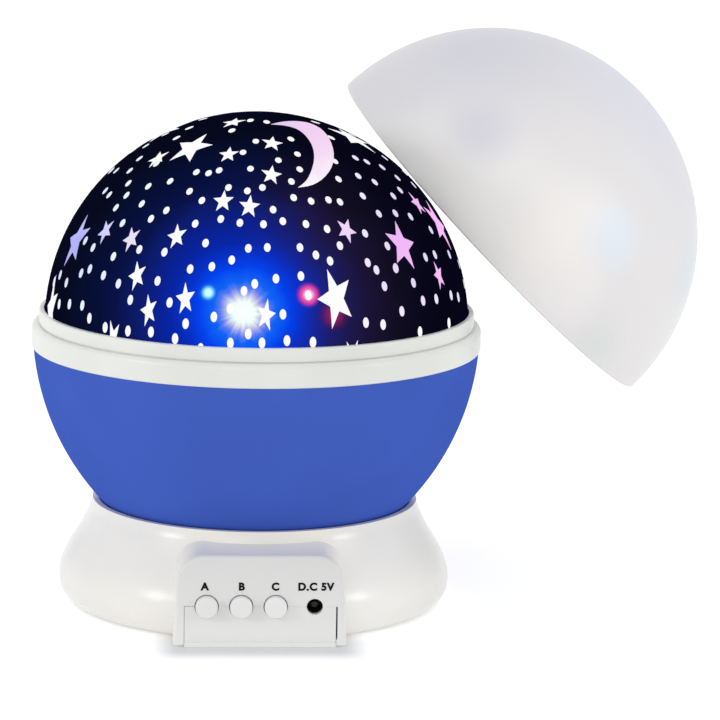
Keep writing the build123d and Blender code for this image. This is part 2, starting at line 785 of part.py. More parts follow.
def gearbox():
    """Reduction gearbox under the deck, with its two ears and the shaft's bore."""
    box = tube(gearbox_r, gearbox_base_z, deck_under_z, 0, drive_y)
    ear_top = deck_under_z - motor_ear_drop
    ear_end = motor_post_x + motor_post_r
    ear_y = (drive_y - motor_post_r, drive_y + motor_post_r)
    box += block((-ear_end, ear_end), ear_y, (ear_top - motor_ear_t, ear_top))
    for x in (-motor_post_x, motor_post_x):
        box -= tube(small_screw_r, ear_top - motor_ear_t, ear_top, x, drive_y)
    bore_z = deck_under_z - shaft_depth - shaft_end_gap
    return box - tube(shaft_r + shaft_gap, bore_z, deck_under_z, 0, drive_y)


def motor_screws():
    """Screws through the gearbox ears into the posts, heads down."""
    one = Rot(X=180) * screw(motor_ear_t + motor_screw_grip)
    head_z = deck_under_z - motor_ear_drop - motor_ear_t
    return [Pos(x, drive_y, head_z) * one for x in (-motor_post_x, motor_post_x)]


def pinion():
    """Small gear on the motor's shaft, a tooth pointing at the large gear."""
    low = deck_z + pinion_lift
    return Pos(0, drive_y, 0) * gear(pinion_teeth, 270, low, pinion_top_z, shaft_r)


os.makedirs("parts", exist_ok=True)

save("base_shell", base_shell())
save("bottom_cover", bottom_cover())
save("foot_ring", foot_ring())
save("base_screws", *base_screws())
save("battery_door", battery_door())
save("door_screw", door_screw())
for i in range(cell_count):
    save("battery_" + str(i + 1), cell(i))
save("battery_springs", *[cell_spring(i) for i in range(cell_count)])
save("battery_contacts_front", *[contact(cells, bay_front_y) for cells in ((0,), (1, 2), (3,))])
save("battery_contacts_back", *[contact(cells, bay_back_y - contact_t) for cells in ((0, 1), (2, 3))])
save("control_board", control_board())
for name, x in zip(button_names, button_x):
    save("button_" + name, button(x))
    save("switch_plunger_" + name, plunger(x))
    save("switch_" + name, switch(x))
save("dc_socket", dc_socket())
save("dc_socket_pin", dc_pin())
save("bowl", bowl())
save("drive_gear", drive_gear())
save("gear_screws", *gear_screws())
save("ring", ring())
save("star_dome", star_dome())
save("milky_cover", milky_cover())
save("thrust_washer", thrust_washer())
save("led_post", led_post())
save("post_screws", *post_screws())
save("led_board", led_board())
save("led_board_screws", *led_board_screws())
for name, (x, y) in zip(led_names, around(len(led_names), led_pitch_r, led_first_angle)):
    save("led_" + name, led(x, y))
save("led_lead", led_lead())
save("gearbox", gearbox())
save("drive_motor", tube(motor_r, gearbox_base_z - motor_h, gearbox_base_z, 0, drive_y))
save("motor_screws", *motor_screws())
save("drive_pinion", pinion())
save("motor_shaft", tube(shaft_r, deck_under_z - shaft_depth, pinion_top_z, 0, drive_y))
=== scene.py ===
import math

import bpy
from mathutils import Matrix, Vector

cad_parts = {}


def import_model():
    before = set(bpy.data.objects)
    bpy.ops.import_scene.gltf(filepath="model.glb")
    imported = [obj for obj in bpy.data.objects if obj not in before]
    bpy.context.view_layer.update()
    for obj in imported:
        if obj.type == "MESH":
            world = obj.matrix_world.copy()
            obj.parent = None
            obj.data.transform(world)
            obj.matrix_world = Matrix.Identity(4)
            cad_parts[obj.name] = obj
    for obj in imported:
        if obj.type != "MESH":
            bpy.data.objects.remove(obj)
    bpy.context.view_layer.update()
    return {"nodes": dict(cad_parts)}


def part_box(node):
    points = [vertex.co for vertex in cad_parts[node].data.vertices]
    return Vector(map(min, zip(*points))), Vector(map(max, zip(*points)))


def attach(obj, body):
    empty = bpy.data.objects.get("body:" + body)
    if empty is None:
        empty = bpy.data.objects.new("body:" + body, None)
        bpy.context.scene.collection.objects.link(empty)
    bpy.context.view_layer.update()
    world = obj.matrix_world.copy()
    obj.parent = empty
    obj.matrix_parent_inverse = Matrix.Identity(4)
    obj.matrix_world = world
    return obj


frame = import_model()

MM = 0.001
FRONT = Vector((0.0, -1.0, 0.0))
NODES = frame["nodes"]

# --- camera, fitted to the photograph ---
CAMERA_TARGET = Vector((30.25, 0.0, 70.94)) * MM
CAMERA_AWAY = 1.3       # metres from its target
CAMERA_BEARING = -3.296
CAMERA_CLIMB = 10.983
CAMERA_ROLL = 0.933
CAMERA_LENS = 223.04
CAMERA_SENSOR = 36.0

# --- light ---
LAMPS = (               # name, place and side in metres, power in watts
    ("key", (-0.4, -1.45, 0.7), 0.7, 2.7),
    ("left", (-1.08, -0.6, 0.45), 0.26, 2.6),
    ("right", (1.15, -0.6, 0.45), 0.26, 2.5),
)
LAMPS_LOOK_AT = Vector((0.03, 0.0, 0.08))
WORLD_FRONT = 0.46      # light from the front, and from beside and behind the object
WORLD_BACK = 0.92
WORLD_TURNS = (-1.0, 0.3)       # the share of +Y in a direction where each of them is reached

# --- floor: where the contact shadow starts and is full, in mm from the object's middle ---
FLOOR_HALF_SIDE = 4.0   # metres
FOOT_SHADOW = (56.0, 48.0)
HOOD_SHADOW_FRONT = (-77.0, -62.0)
HOOD_SHADOW_BACK = (-30.0, -45.0)
HOOD_SHADOW_SIDE = (33.0, 22.0)
FLOOR_HIDDEN = (0.5, 0.42)      # reflected share and glow for the light that reaches the object
FLOOR_SEEN = (0.72, 0.52)       # the same for the floor as it is seen
SHADOW_DEPTH = 0.46             # glow that the contact shadow takes away

# --- the dome's printed film ---
DOME_CENTRE = Vector((0.0, 0.0, 81.7)) * MM
DOME_R = 61.5           # mm, as all that follows
INLAY_PROUD = 0.05
MOON_PROUD = 0.07
INLAY_DEEP = 0.25
HIDDEN_BELOW = 85.6     # degrees from the top where the ring's lip starts to hide the film
LOWEST = 87.4           # degrees from the top that nothing printed passes
STAR_INNER = 0.42       # a star's inner corners, as a share of its size
DOT_HALF_WIDTH = 0.93

# Stars: bearing from the front, angle from the top, size in mm, turn clockwise.
WHITE_STARS = (
    (-43.5, 27.9, 6.1, 67), (80.5, 26.3, 6.4, 51), (19.9, 73.6, 5.5, 55), (-57.8, 34.3, 3.1, 27),
    (-18.3, 29.3, 2.9, 63), (-37.3, 11.9, 3.15, 45), (-14.6, 46.2, 3.0, 67),
    (-5.0, 47.6, 3.05, 4), (-27.7, 57.5, 2.95, 55), (-37.6, 69.3, 2.95, 48),
    (-21.6, 74.0, 2.9, 62), (-32.0, 77.9, 2.7, 53), (0.5, 77.4, 2.75, 11), (6.8, 23.7, 3.1, 15),
    (3.7, 36.9, 3.05, 12), (-42.8, 87.0, 2.9, 41), (23.9, 90.3, 3.0, 35), (-76.4, 84.4, 5.2, 57),
)
# stars that the coloured lamps light in pink and lavender
TINTED_STARS = (
    (46.9, 61.4, 5.6, 16), (77.1, 59.1, 6.3, 31), (-70.9, 64.0, 6.0, 54), (-56.5, 59.1, 2.95, 29),
    (-43.8, 59.8, 2.95, 41), (27.4, 55.4, 3.05, 33), (68.7, 51.5, 3.1, 0), (60.2, 71.6, 2.75, 62),
)
# The moon's two edges in plan, in mm, from its upper tip to its lower one.
MOON_OUTER = (
    (3.0, -12.9), (6.4, -9.8), (10.2, -7.2), (14.0, -6.0), (17.3, -8.6), (19.5, -14.8),
    (20.5, -22.2), (19.8, -28.8), (17.3, -34.2), (13.8, -37.8), (9.8, -39.6),
)
MOON_INNER = (
    (3.0, -12.9), (7.0, -12.8), (10.4, -14.1), (12.9, -17.9), (14.5, -23.1), (14.7, -28.5),
    (13.7, -33.4), (12.1, -37.1), (9.8, -39.6),
)
# Dots: bearing and angle from the top.
DOTS = (
    (-16.5, 9.2), (9.4, 10.4), (81.8, 15.4), (-26.8, 17.3), (-74.3, 19.9), (21.5, 21.8),
    (-4, 22.7), (56.1, 23.3), (-65.8, 25.2), (-88.3, 26), (-10.7, 28.1), (19.6, 29), (8.1, 31.3),
    (-85.2, 32.1), (53.5, 32.9), (38.2, 33), (-5.6, 34.7), (17.2, 35.1), (58.7, 35.1),
    (-19.8, 35.8), (-71.8, 36.1), (-54.8, 36.2), (82.3, 36.4), (-30, 37.1), (-24.1, 37.1),
    (66.3, 38.2), (44.6, 39.2), (11.8, 39.4), (33.3, 39.5), (-68.3, 40.6), (-39.7, 41.2),
    (-0.3, 41.4), (-13.7, 41.7), (51.2, 42.1), (-81.3, 42.4), (-6.1, 42.6), (70.3, 42.8),
    (88.5, 43.5), (91.1, 43.7), (-28.8, 43.8), (-48.6, 43.9), (-61, 44.3), (11.3, 44.8),
    (40, 45.8), (24.5, 46), (17.6, 46.1), (63.4, 46.3), (-22.6, 46.4), (28.8, 46.9), (81.7, 47),
    (55.9, 47.4), (-56.6, 47.9), (3.3, 48.5), (-73, 48.6), (-67.4, 49.2), (-46.3, 49.5),
    (-34.7, 50.4), (-14.3, 51.7), (42.9, 51.7), (6.3, 52), (-57.8, 52.1), (50.9, 52.4),
    (-7.8, 52.6), (-0.1, 52.9), (13.9, 53), (-39.3, 53.4), (-22.6, 53.5), (58.2, 54.3),
    (20.7, 54.7), (-50.3, 55.9), (33.8, 56.8), (-17.9, 58.8), (1, 59.5), (66.8, 59.5),
    (10.9, 59.6), (23.7, 59.6), (-4.7, 59.8), (40.7, 61), (15.5, 61.8), (-30.4, 62.2),
    (-39.3, 62.3), (-64.9, 63.1), (-9.4, 63.1), (19.6, 63.6), (-59, 64.2), (31.7, 64.8),
    (-15, 65.1), (-48.3, 65.3), (56, 65.9), (61.9, 66), (-21.3, 66.1), (34.1, 67), (41.4, 67.1),
    (10.4, 67.3), (41.2, 67.3), (73.2, 67.6), (3.3, 67.9), (-56.8, 69.9), (-30.6, 70),
    (-50, 70.7), (-5.5, 71.2), (35.7, 71.5), (-60.5, 71.6), (46.9, 71.8), (-43.5, 72.1),
    (12.1, 72.4), (-73.8, 74.2), (-67.6, 75.3), (-26, 75.3), (-38.3, 75.8), (-9.1, 75.9),
    (-78.2, 76.8), (49.5, 76.9), (5, 77.2), (55.9, 77.3), (65.1, 77.7), (-13.3, 78.2),
    (40.5, 78.6), (70.7, 79.1), (-56.4, 79.7), (-63.1, 80.4), (-20.9, 80.4), (28.2, 80.4),
    (33.6, 81.4), (-69.7, 81.5), (-4.1, 82.3), (-52.5, 82.5), (-30.7, 83.4), (-37.9, 83.9),
    (-45.9, 84), (6, 84), (-23.6, 84.5), (-0.5, 84.6), (12.9, 84.6), (61.4, 84.6), (-8.7, 84.8),
    (46.8, 84.8), (-16.5, 86.6), (-2.6, 69.3), (82.9, 72), (82.7, 77.5),
)
# Dots that fill the sides, which the photograph can't show: degrees and mm.
SIDE_BAND = (76, 104)
SIDE_ROWS = range(16, 86, 6)
DOT_PITCH = 6.6
DOT_ROOM = 5.4
STAR_ROOM = 1.5         # beyond STAR_SHARE of its size
STAR_SHARE = 0.62
MOON_ROOM = 3.0
PAST_HORIZON = -0.02    # a dot behind this share of the radius is out of the camera's sight
# Colours of the lamps' light through the print: (mm, sRGB) along x, and for the dots and the moon
# also along z.
WHITE_ACROSS = ((-60, (252, 253, 255)), (60, (255, 253, 255)))
DOTS_ACROSS = (
    (-52, (220, 229, 255)), (-38, (238, 244, 255)), (-22, (255, 255, 255)), (14, (255, 255, 255)),
    (26, (241, 234, 253)), (38, (230, 216, 248)), (52, (226, 220, 252)),
)
DOTS_UPWARD = ((86, (255, 255, 255)), (98, (255, 255, 255)))
TINTED_ACROSS = (
    (-53, (178, 176, 249)), (-44, (208, 208, 253)), (-36, (232, 226, 244)), (22, (241, 213, 249)),
    (38, (240, 182, 246)), (51, (250, 188, 250)), (58, (252, 196, 252)),
)
MOON_ACROSS = ((3, (214, 203, 243)), (13, (241, 206, 242)), (20, (243, 212, 242)))
MOON_UPWARD = ((128, (255, 254, 255)), (139, (246, 228, 246)))

# --- light that the film shows, as sRGB by degrees from the lamp's spot ---
SPOT = (-5.4, 76.6)
GLOW_REACH = 60.0
RAYS_FADE = (1.5, 15.0)     # degrees over which the rays round the spot die away
CLOUD_PULL = 0.22
SIDES_MEET = (-0.05, 0.3)   # shares of the radius where the left colours give way to the right ones
LAMP_FADE = (22.0, 44.0)    # degrees over which a lamp at the side gives way to the others
GLOW_LEFT = (
    (0.0, (250, 255, 255)), (2.9, (242, 254, 250)), (3.8, (214, 226, 240)), (5.2, (158, 164, 238)),
    (6.4, (84, 124, 242)), (8.0, (16, 100, 247)), (12.1, (2, 65, 236)), (15.3, (5, 50, 202)),
    (19.1, (6, 38, 166)), (23.6, (9, 32, 144)), (28.9, (12, 27, 108)), (35.0, (8, 18, 70)),
    (43.1, (5, 14, 54)), (52.8, (5, 12, 38)), (60.0, (5, 8, 26)),
)
GLOW_RIGHT = (
    (0.0, (250, 255, 255)), (2.9, (242, 254, 250)), (3.8, (218, 218, 236)), (5.2, (172, 152, 226)),
    (6.4, (84, 124, 242)), (8.0, (16, 100, 247)), (12.1, (2, 62, 232)), (15.3, (12, 48, 196)),
    (19.1, (20, 38, 152)), (23.6, (26, 30, 108)), (28.9, (28, 24, 76)), (35.0, (26, 18, 50)),
    (43.1, (17, 13, 32)), (52.8, (8, 7, 24)), (60.0, (5, 5, 20)),
)
# Small spots: place, reach in degrees, and (degrees away, colour, cover).
SMALL_SPOTS = (
    ((19.0, 77.7), 5.4, (
        (0.0, (176, 36, 104), 0.8), (2.0, (146, 28, 84), 0.65), (3.6, (84, 16, 64), 0.3),
        (5.4, (30, 14, 60), 0.0),
    )),
    ((12.2, 72.3), 3.6, (
        (0.0, (255, 235, 248), 1.0), (1.1, (252, 176, 222), 1.0), (1.6, (238, 98, 180), 1.0),
        (2.3, (218, 68, 160), 0.9), (2.8, (176, 48, 160), 0.55), (3.2, (120, 50, 190), 0.2),
        (3.6, (80, 50, 190), 0.0),
    )),
    ((-15.3, 72.0), 3.0, (
        (0.0, (225, 255, 255), 1.0), (0.9, (190, 250, 255), 1.0), (1.5, (96, 190, 252), 0.9),
        (2.1, (24, 110, 242), 0.5), (3.0, (6, 86, 241), 0.0),
    )),
)
# The lamps' spots round the dome: bearing, size against the front one, turn of hue.
SIDE_SPOTS = ((0.0, 1.0, 0.5), (122.0, 0.58, 0.86), (184.0, 0.62, 0.24), (-124.0, 0.58, 0.5))

# --- the cover's soft patches of painted light, painted highlights and painted shade, with some cool and warm tints: centre in mm, radius in mm, colour, cover ---
COVER_LIGHT_AND_SHADE = (
    # painted light on the rim beside the dome, which lies in the dome's shade
    ((52, 12, 116), 44, (255, 254, 251), 1.0),
    # painted shade over the cover's upper, back and far parts
    ((66, 20, 136), 17, (218, 217, 228), 0.7),
    ((118, 69, 141), 56, (218, 221, 238), 0.85),
    ((66, 52, 158), 52, (214, 215, 225), 0.9),
    ((30, 66, 144), 46, (216, 215, 222), 0.9),
    ((130, 52, 108), 40, (224, 224, 230), 0.6),
    # painted light and painted highlights on the cover's lower front
    ((86, 9, 104), 30, (254, 250, 246), 1.0),
    ((90, 8, 88), 18, (248, 243, 243), 0.8),
    ((106, 15, 105), 15, (232, 240, 250), 1.0),
    # cooler tints low on the cover's far side and front
    ((132, 46, 90), 18, (220, 229, 234), 0.9),
    ((102, 17, 72), 13, (226, 232, 229), 0.8),
)

# --- the foot's painted light and painted shade: painted light under the bowl and beside the hood, painted shade at its flanks ---
FOOT_LIGHT_AND_SHADE = (
    # painted light on the strip under the bowl, which the bowl shades
    ((-12, -47, 31), 22, (254, 250, 238), 0.9),
    ((14, -47, 31), 22, (254, 250, 238), 0.9),
    # painted shade on the foot's right and left flanks
    ((52, -15, 24), 24, (220, 221, 216), 0.8),
    ((-54, -8, 15), 16, (226, 225, 224), 0.7),
    # painted light low on the foot beside the hood
    ((34, -46, 9), 30, (251, 249, 244), 0.9),
    ((-37, -44, 7), 26, (246, 243, 236), 0.8),
)

# painted shade on the hood's flat front, darker towards its top edge
HOOD_SHADE_Y = (-57.2, -58.5)   # from none of the hood front's colour to all of it
HOOD_SHADE_Z = (4.0, 27.0)      # from its lower colour to its upper one

# --- lettering over the buttons and the socket, in mm ---
LABELS = (("A", -15.65), ("B", -5.35), ("C", 4.15), ("D.C 5V", 15.5))
LABEL_Z = 16.5
LABEL_CAP = 2.15
LABEL_THICK = 0.05
LABEL_BOLD = 0.06
LABEL_BEVEL = 0.08
LABEL_SPACING = 1.12
CAP_SHARE = 0.72        # height of the font's capitals as a share of its size

# --- grip ribs under the battery door, in mm ---
RIB_FIRST = -23.0
RIB_PITCH = 1.6
RIB_COUNT = 6

# --- surfaces ---
BUMP_HEIGHT = 0.02      # mm
PLASTIC_GRAIN = 2600.0  # features per metre
PLASTIC_FLOW = 38.0
DRAWN_LINES = (1.0, 1.0, 9.0)
FILM_GLOSS = {"roughness": 0.24, "spread": 0.03, "grain": 1200.0, "bump": 0.03}


# --- node helpers ---
def srgb(red, green, blue):
    """Linear colour from an sRGB one of 0 to 255."""
    shares = [c / 255 for c in (red, green, blue)]
    linear = (c / 12.92 if c <= 0.04045 else ((c + 0.055) / 1.055) ** 2.4 for c in shares)
    return (*linear, 1.0)


def scaled(colour, share):
    """The linear colour times a share, no lighter than white."""
    return tuple(min(1.0, c * share) for c in colour[:3]) + (1.0,)


def node(tree, kind, inputs=(), **settings):
    """A new node with its settings and with its inputs set or linked."""
    made = tree.nodes.new(kind)
    for name, value in settings.items():
        setattr(made, name, value)
    for name, value in dict(inputs).items():
        if isinstance(value, bpy.types.NodeSocket):
            tree.links.new(value, made.inputs[name])
        else:
            made.inputs[name].default_value = value
    return made


def maths(tree, operation, *values):
    return node(tree, "ShaderNodeMath", enumerate(values), operation=operation).outputs[0]


def vector_maths(tree, operation, *values):
    made = node(tree, "ShaderNodeVectorMath", enumerate(values), operation=operation)
    single = operation in ("DISTANCE", "DOT_PRODUCT", "LENGTH")
    return made.outputs["Value" if single else "Vector"]


def ranged(tree, value, start, end, first=0.0, last=1.0, smooth=False):
    """From first to last as the value goes from start to end, and held beyond them."""
    return node(
        tree, "ShaderNodeMapRange",
        {"Value": value, "From Min": start, "From Max": end, "To Min": first, "To Max": last},
        interpolation_type="SMOOTHSTEP" if smooth else "LINEAR",
    ).outputs[0]


def ramp(tree, factor, stops):
    """Colour ramp with (place, colour) stops; a colour has four linear numbers."""
    made = node(tree, "ShaderNodeValToRGB", {"Fac": factor})
    elements = made.color_ramp.elements
    while len(elements) < len(stops):
        elements.new(1.0)
    for element, (place, colour) in zip(elements, stops):
        element.position = place
        element.color = colour
    return made.outputs[0]


def mix(tree, factor, first, second, blend="MIX"):
    """Colours mixed. The node has unnamed twins of its sockets, so they go by number."""
    return node(
        tree, "ShaderNodeMix", {0: factor, 6: first, 7: second}, data_type="RGBA", blend_type=blend
    ).outputs[2]


def new_material(name):
    material = bpy.data.materials.new(name)
    material.use_nodes = True
    tree = material.node_tree
    return material, tree, tree.nodes["Principled BSDF"]


def object_place(tree):
    return node(tree, "ShaderNodeTexCoord").outputs["Object"]


def axes_of(tree, place):
    return node(tree, "ShaderNodeSeparateXYZ", {0: place}).outputs


def noise(tree, place, scale, detail=3.0, roughness=0.5, stretch=None):
    if stretch:
        place = node(tree, "ShaderNodeMapping", {"Vector": place, "Scale": stretch}).outputs[0]
    return node(
        tree, "ShaderNodeTexNoise",
        {"Vector": place, "Scale": scale, "Detail": detail, "Roughness": roughness},
    ).outputs["Fac"]


def surface(tree, shader, place, roughness, spread, grain, bump, stretch=None):
    """Roughness that varies by spread, and a fine bump whose grain is in features per metre.

    The denoiser takes a surface smoother than 0.274 for a mirror. A spread that crosses this value
    shows as flecks, so roughness and spread keep to one side of it.
    """
    fine = noise(tree, place, grain, detail=4.0, stretch=stretch)
    broad = noise(tree, place, grain / 14, stretch=stretch)
    both = maths(
        tree, "ADD", maths(tree, "MULTIPLY", fine, 0.5), maths(tree, "MULTIPLY", broad, 0.5)
    )
    rough = ranged(tree, both, 0.3, 0.7, roughness - spread, roughness + spread)
    tree.links.new(rough, shader.inputs["Roughness"])
    bumped = node(
        tree, "ShaderNodeBump", {"Strength": bump, "Distance": BUMP_HEIGHT * MM, "Height": fine}
    )
    tree.links.new(bumped.outputs[0], shader.inputs["Normal"])


def mottled(tree, place, colour, share, scale):
    """The colour, lighter and darker by a share in soft patches."""
    patch = noise(tree, place, scale, detail=2.0)
    return ramp(tree, patch, ((0.35, scaled(colour, 1 - share)), (0.65, scaled(colour, 1 + share))))


def patched(tree, place, shade, patches):
    """The shade under soft round patches of (centre in mm, radius in mm, colour, cover)."""
    for centre, radius, patch, cover in patches:
        away = vector_maths(tree, "DISTANCE", place, Vector(centre) * MM)
        near = ranged(tree, away, 0.0, radius * MM, cover, 0.0, smooth=True)
        shade = mix(tree, near, shade, srgb(*patch))
    return shade


# --- materials ---
def plastic(
    name, colour, roughness=0.3, specular=0.4, share=0.02, bump=0.12, patches=(), hood_front_shade=None
):
    """Moulded plastic: faint flow patches, a fine spark-eroded grain and a soft gloss.

    patches are soft round patches of painted light and painted shade. hood_front_shade gives the
    colours of the painted shade on the control hood's flat front, at the table and at its top edge.
    """
    material, tree, shader = new_material(name)
    place = object_place(tree)
    shade = patched(tree, place, mottled(tree, place, colour, share, PLASTIC_FLOW), patches)
    # painted shade over the hood's flat front, deepening towards its top edge
    if hood_front_shade:
        axes = axes_of(tree, place)
        on_front = ranged(tree, axes["Y"], *(y * MM for y in HOOD_SHADE_Y))
        height = ranged(tree, axes["Z"], *(z * MM for z in HOOD_SHADE_Z))
        shade = mix(tree, on_front, shade, mix(tree, height, *hood_front_shade))
    tree.links.new(shade, shader.inputs["Base Color"])
    shader.inputs["Specular IOR Level"].default_value = specular
    surface(tree, shader, place, roughness, spread=0.02, grain=PLASTIC_GRAIN, bump=bump)
    return material


def metal(name, colour, roughness=0.4):
    """Plated metal with fine drawn or turned lines."""
    material, tree, shader = new_material(name)
    place = object_place(tree)
    tree.links.new(mottled(tree, place, colour, 0.08, 260.0), shader.inputs["Base Color"])
    shader.inputs["Metallic"].default_value = 1.0
    surface(
        tree, shader, place, roughness, spread=0.1, grain=1500.0, bump=0.2, stretch=DRAWN_LINES
    )
    return material


def board(name, colour):
    """Solder mask over copper tracks, with the weave of the glass under it."""
    material, tree, shader = new_material(name)
    place = object_place(tree)
    tracks = node(
        tree, "ShaderNodeTexBrick",
        {"Vector": place, "Scale": 260.0, "Mortar Size": 0.06, "Color1": colour,
         "Color2": scaled(colour, 0.8), "Mortar": srgb(60, 140, 80)},
    )
    tree.links.new(tracks.outputs["Color"], shader.inputs["Base Color"])
    surface(tree, shader, place, roughness=0.35, spread=0.06, grain=3000.0, bump=0.15)
    return material


def lamp(name, colour, light):
    """Clear epoxy of an LED, lit from its chip."""
    material, tree, shader = new_material(name)
    place = object_place(tree)
    tree.links.new(mottled(tree, place, colour, 0.05, 400.0), shader.inputs["Base Color"])
    shader.inputs["Emission Color"].default_value = light
    shader.inputs["Emission Strength"].default_value = 1.0
    surface(tree, shader, place, roughness=0.15, spread=0.04, grain=900.0, bump=0.05)
    material.cycles.emission_sampling = "NONE"
    return material


def pearl(name, colour, patches):
    """Milky polypropylene of the cover under a satin skin, with soft cool and warm patches of
    painted light, painted highlights and painted shade.

    Patches are (centre in mm, radius in mm, colour, cover).
    """
    material, tree, shader = new_material(name)
    place = object_place(tree)
    clouds = noise(tree, place, 21.0, detail=1.0)
    cloud = ramp(tree, clouds, ((0.3, scaled(colour, 0.98)), (0.7, colour)))
    tree.links.new(patched(tree, place, cloud, patches), shader.inputs["Base Color"])
    shader.inputs["Subsurface Weight"].default_value = 0.25
    shader.inputs["Subsurface Radius"].default_value = (1.0, 1.0, 1.0)
    shader.inputs["Subsurface Scale"].default_value = 2.0 * MM
    shader.inputs["Specular IOR Level"].default_value = 0.35
    surface(tree, shader, place, roughness=0.4, spread=0.06, grain=1800.0, bump=0.05)
    return material


# --- the film and its glow ---
def heading(bearing, from_top):
    """Unit vector by bearing from the front and angle from the top, in degrees."""
    a, t = math.radians(bearing), math.radians(from_top)
    return Vector((math.sin(t) * math.sin(a), -math.sin(t) * math.cos(a), math.cos(t)))


def degrees_from(tree, towards, spot):
    cosine = vector_maths(tree, "DOT_PRODUCT", towards, heading(*spot))
    radians = maths(tree, "ARCCOSINE", maths(tree, "MINIMUM", cosine, 1.0))
    return maths(tree, "MULTIPLY", radians, math.degrees(1.0))


def glow_ramp(tree, share, stops):
    """Colour by a share of GLOW_REACH; the stops are in degrees."""
    return ramp(tree, share, [(degrees / GLOW_REACH, srgb(*c)) for degrees, c in stops])


def glow_group():
    """One lamp's glow: input a unit direction from the dome's centre, output its colour."""
    tree = bpy.data.node_groups.new("lamp_glow", "ShaderNodeTree")
    tree.interface.new_socket("Towards", in_out="INPUT", socket_type="NodeSocketVector")
    tree.interface.new_socket("Size", in_out="INPUT", socket_type="NodeSocketFloat")
    tree.interface.new_socket("Colour", in_out="OUTPUT", socket_type="NodeSocketColor")
    tree.interface.new_socket("Nearness", in_out="OUTPUT", socket_type="NodeSocketFloat")
    start = node(tree, "NodeGroupInput")
    towards, size = start.outputs[0], start.outputs[1]
    away = maths(tree, "DIVIDE", degrees_from(tree, towards, SPOT), size)

    east = heading(SPOT[0] + 90, 90)
    north = east.cross(heading(*SPOT))
    if north.z < 0:
        north = -north
    across = vector_maths(tree, "DOT_PRODUCT", towards, east)
    above = vector_maths(tree, "DOT_PRODUCT", towards, north)
    flat = node(tree, "ShaderNodeCombineXYZ", {"X": across, "Y": above}).outputs[0]
    spoke = vector_maths(tree, "NORMALIZE", flat)
    rays = noise(tree, spoke, 3.2, detail=2.5, roughness=0.55)
    near = ranged(tree, away, *RAYS_FADE, 1.0, 0.0, smooth=True)
    pull = maths(tree, "MULTIPLY", maths(tree, "SUBTRACT", rays, 0.5), near)
    clouds = noise(tree, towards, 5.0, detail=2.0)
    drift = maths(tree, "MULTIPLY", maths(tree, "SUBTRACT", clouds, 0.5), CLOUD_PULL)
    kept = maths(tree, "SUBTRACT", maths(tree, "SUBTRACT", 1.0, pull), drift)
    share = maths(tree, "DIVIDE", maths(tree, "MULTIPLY", away, kept), GLOW_REACH)
    side = ranged(tree, across, *SIDES_MEET)
    colour = mix(tree, side, glow_ramp(tree, share, GLOW_LEFT), glow_ramp(tree, share, GLOW_RIGHT))
    for spot, reach, glow in SMALL_SPOTS:
        part = maths(tree, "DIVIDE", degrees_from(tree, towards, spot), size)
        part = maths(tree, "DIVIDE", part, reach)
        shade = ramp(tree, part, [(d / reach, srgb(*c)) for d, c, _ in glow])
        cover = ramp(tree, part, [(d / reach, (s, s, s, 1.0)) for d, _, s in glow])
        colour = mix(tree, cover, colour, shade)
    nearness = ranged(tree, away, *LAMP_FADE, 1.0, 0.0, smooth=True)
    node(tree, "NodeGroupOutput", {0: colour, 1: nearness})
    return tree


def shine(tree, shader, colour):
    """The film's own light, with no reflection over it."""
    tree.links.new(colour, shader.inputs["Emission Color"])
    shader.inputs["Emission Strength"].default_value = 1.0
    shader.inputs["Specular IOR Level"].default_value = 0.0


def film(name, dark):
    """Dark film, lit through by the lamps, whose light stays put when the ball turns."""
    material, tree, shader = new_material(name)
    here = node(tree, "ShaderNodeNewGeometry").outputs["Position"]
    towards = vector_maths(tree, "NORMALIZE", vector_maths(tree, "SUBTRACT", here, DOME_CENTRE))
    group = glow_group()
    total = None
    for bearing, size, hue in SIDE_SPOTS:
        turned = node(
            tree, "ShaderNodeVectorRotate",
            {"Vector": towards, "Angle": -math.radians(bearing)}, rotation_type="Z_AXIS",
        ).outputs[0]
        glow = node(tree, "ShaderNodeGroup", {}, node_tree=group)
        tree.links.new(turned, glow.inputs[0])
        glow.inputs[1].default_value = size
        shade = node(
            tree, "ShaderNodeHueSaturation", {"Hue": hue, "Color": glow.outputs[0]}
        ).outputs[0]
        total = shade if total is None else mix(tree, glow.outputs[1], total, shade, "LIGHTEN")
    shine(tree, shader, total)
    place = object_place(tree)
    tree.links.new(mottled(tree, place, dark, 0.3, 30.0), shader.inputs["Base Color"])
    surface(tree, shader, place, **FILM_GLOSS)
    material.cycles.emission_sampling = "NONE"
    return material


def lit_clear(name, across, upward=None):
    """Clear film lit from inside. Its colour runs along x, and along z where upward is given.

    Both are stops of (mm, sRGB colour). With upward, the colour along x fills in above its last
    stop.
    """
    material, tree, shader = new_material(name)
    place = object_place(tree)
    axes = axes_of(tree, place)
    clouds = maths(tree, "SUBTRACT", noise(tree, place, 90.0), 0.5)
    drift = maths(tree, "MULTIPLY", clouds, 12 * MM)

    def along(axis, stops):
        """How far the place is along the stops, and its colour there."""
        low, high = stops[0][0], stops[-1][0]
        drifted = maths(tree, "ADD", axes[axis], drift)
        share = ranged(tree, drifted, low * MM, high * MM)
        colours = [((mm - low) / (high - low), srgb(*c)) for mm, c in stops]
        return share, ramp(tree, share, colours)

    _, shade = along("X", across)
    if upward:
        climb, lower = along("Z", upward)
        shade = mix(tree, climb, lower, shade)
    shine(tree, shader, shade)
    shader.inputs["Base Color"].default_value = (0.01, 0.01, 0.012, 1.0)
    surface(tree, shader, place, **FILM_GLOSS)
    material.cycles.emission_sampling = "NONE"
    return material


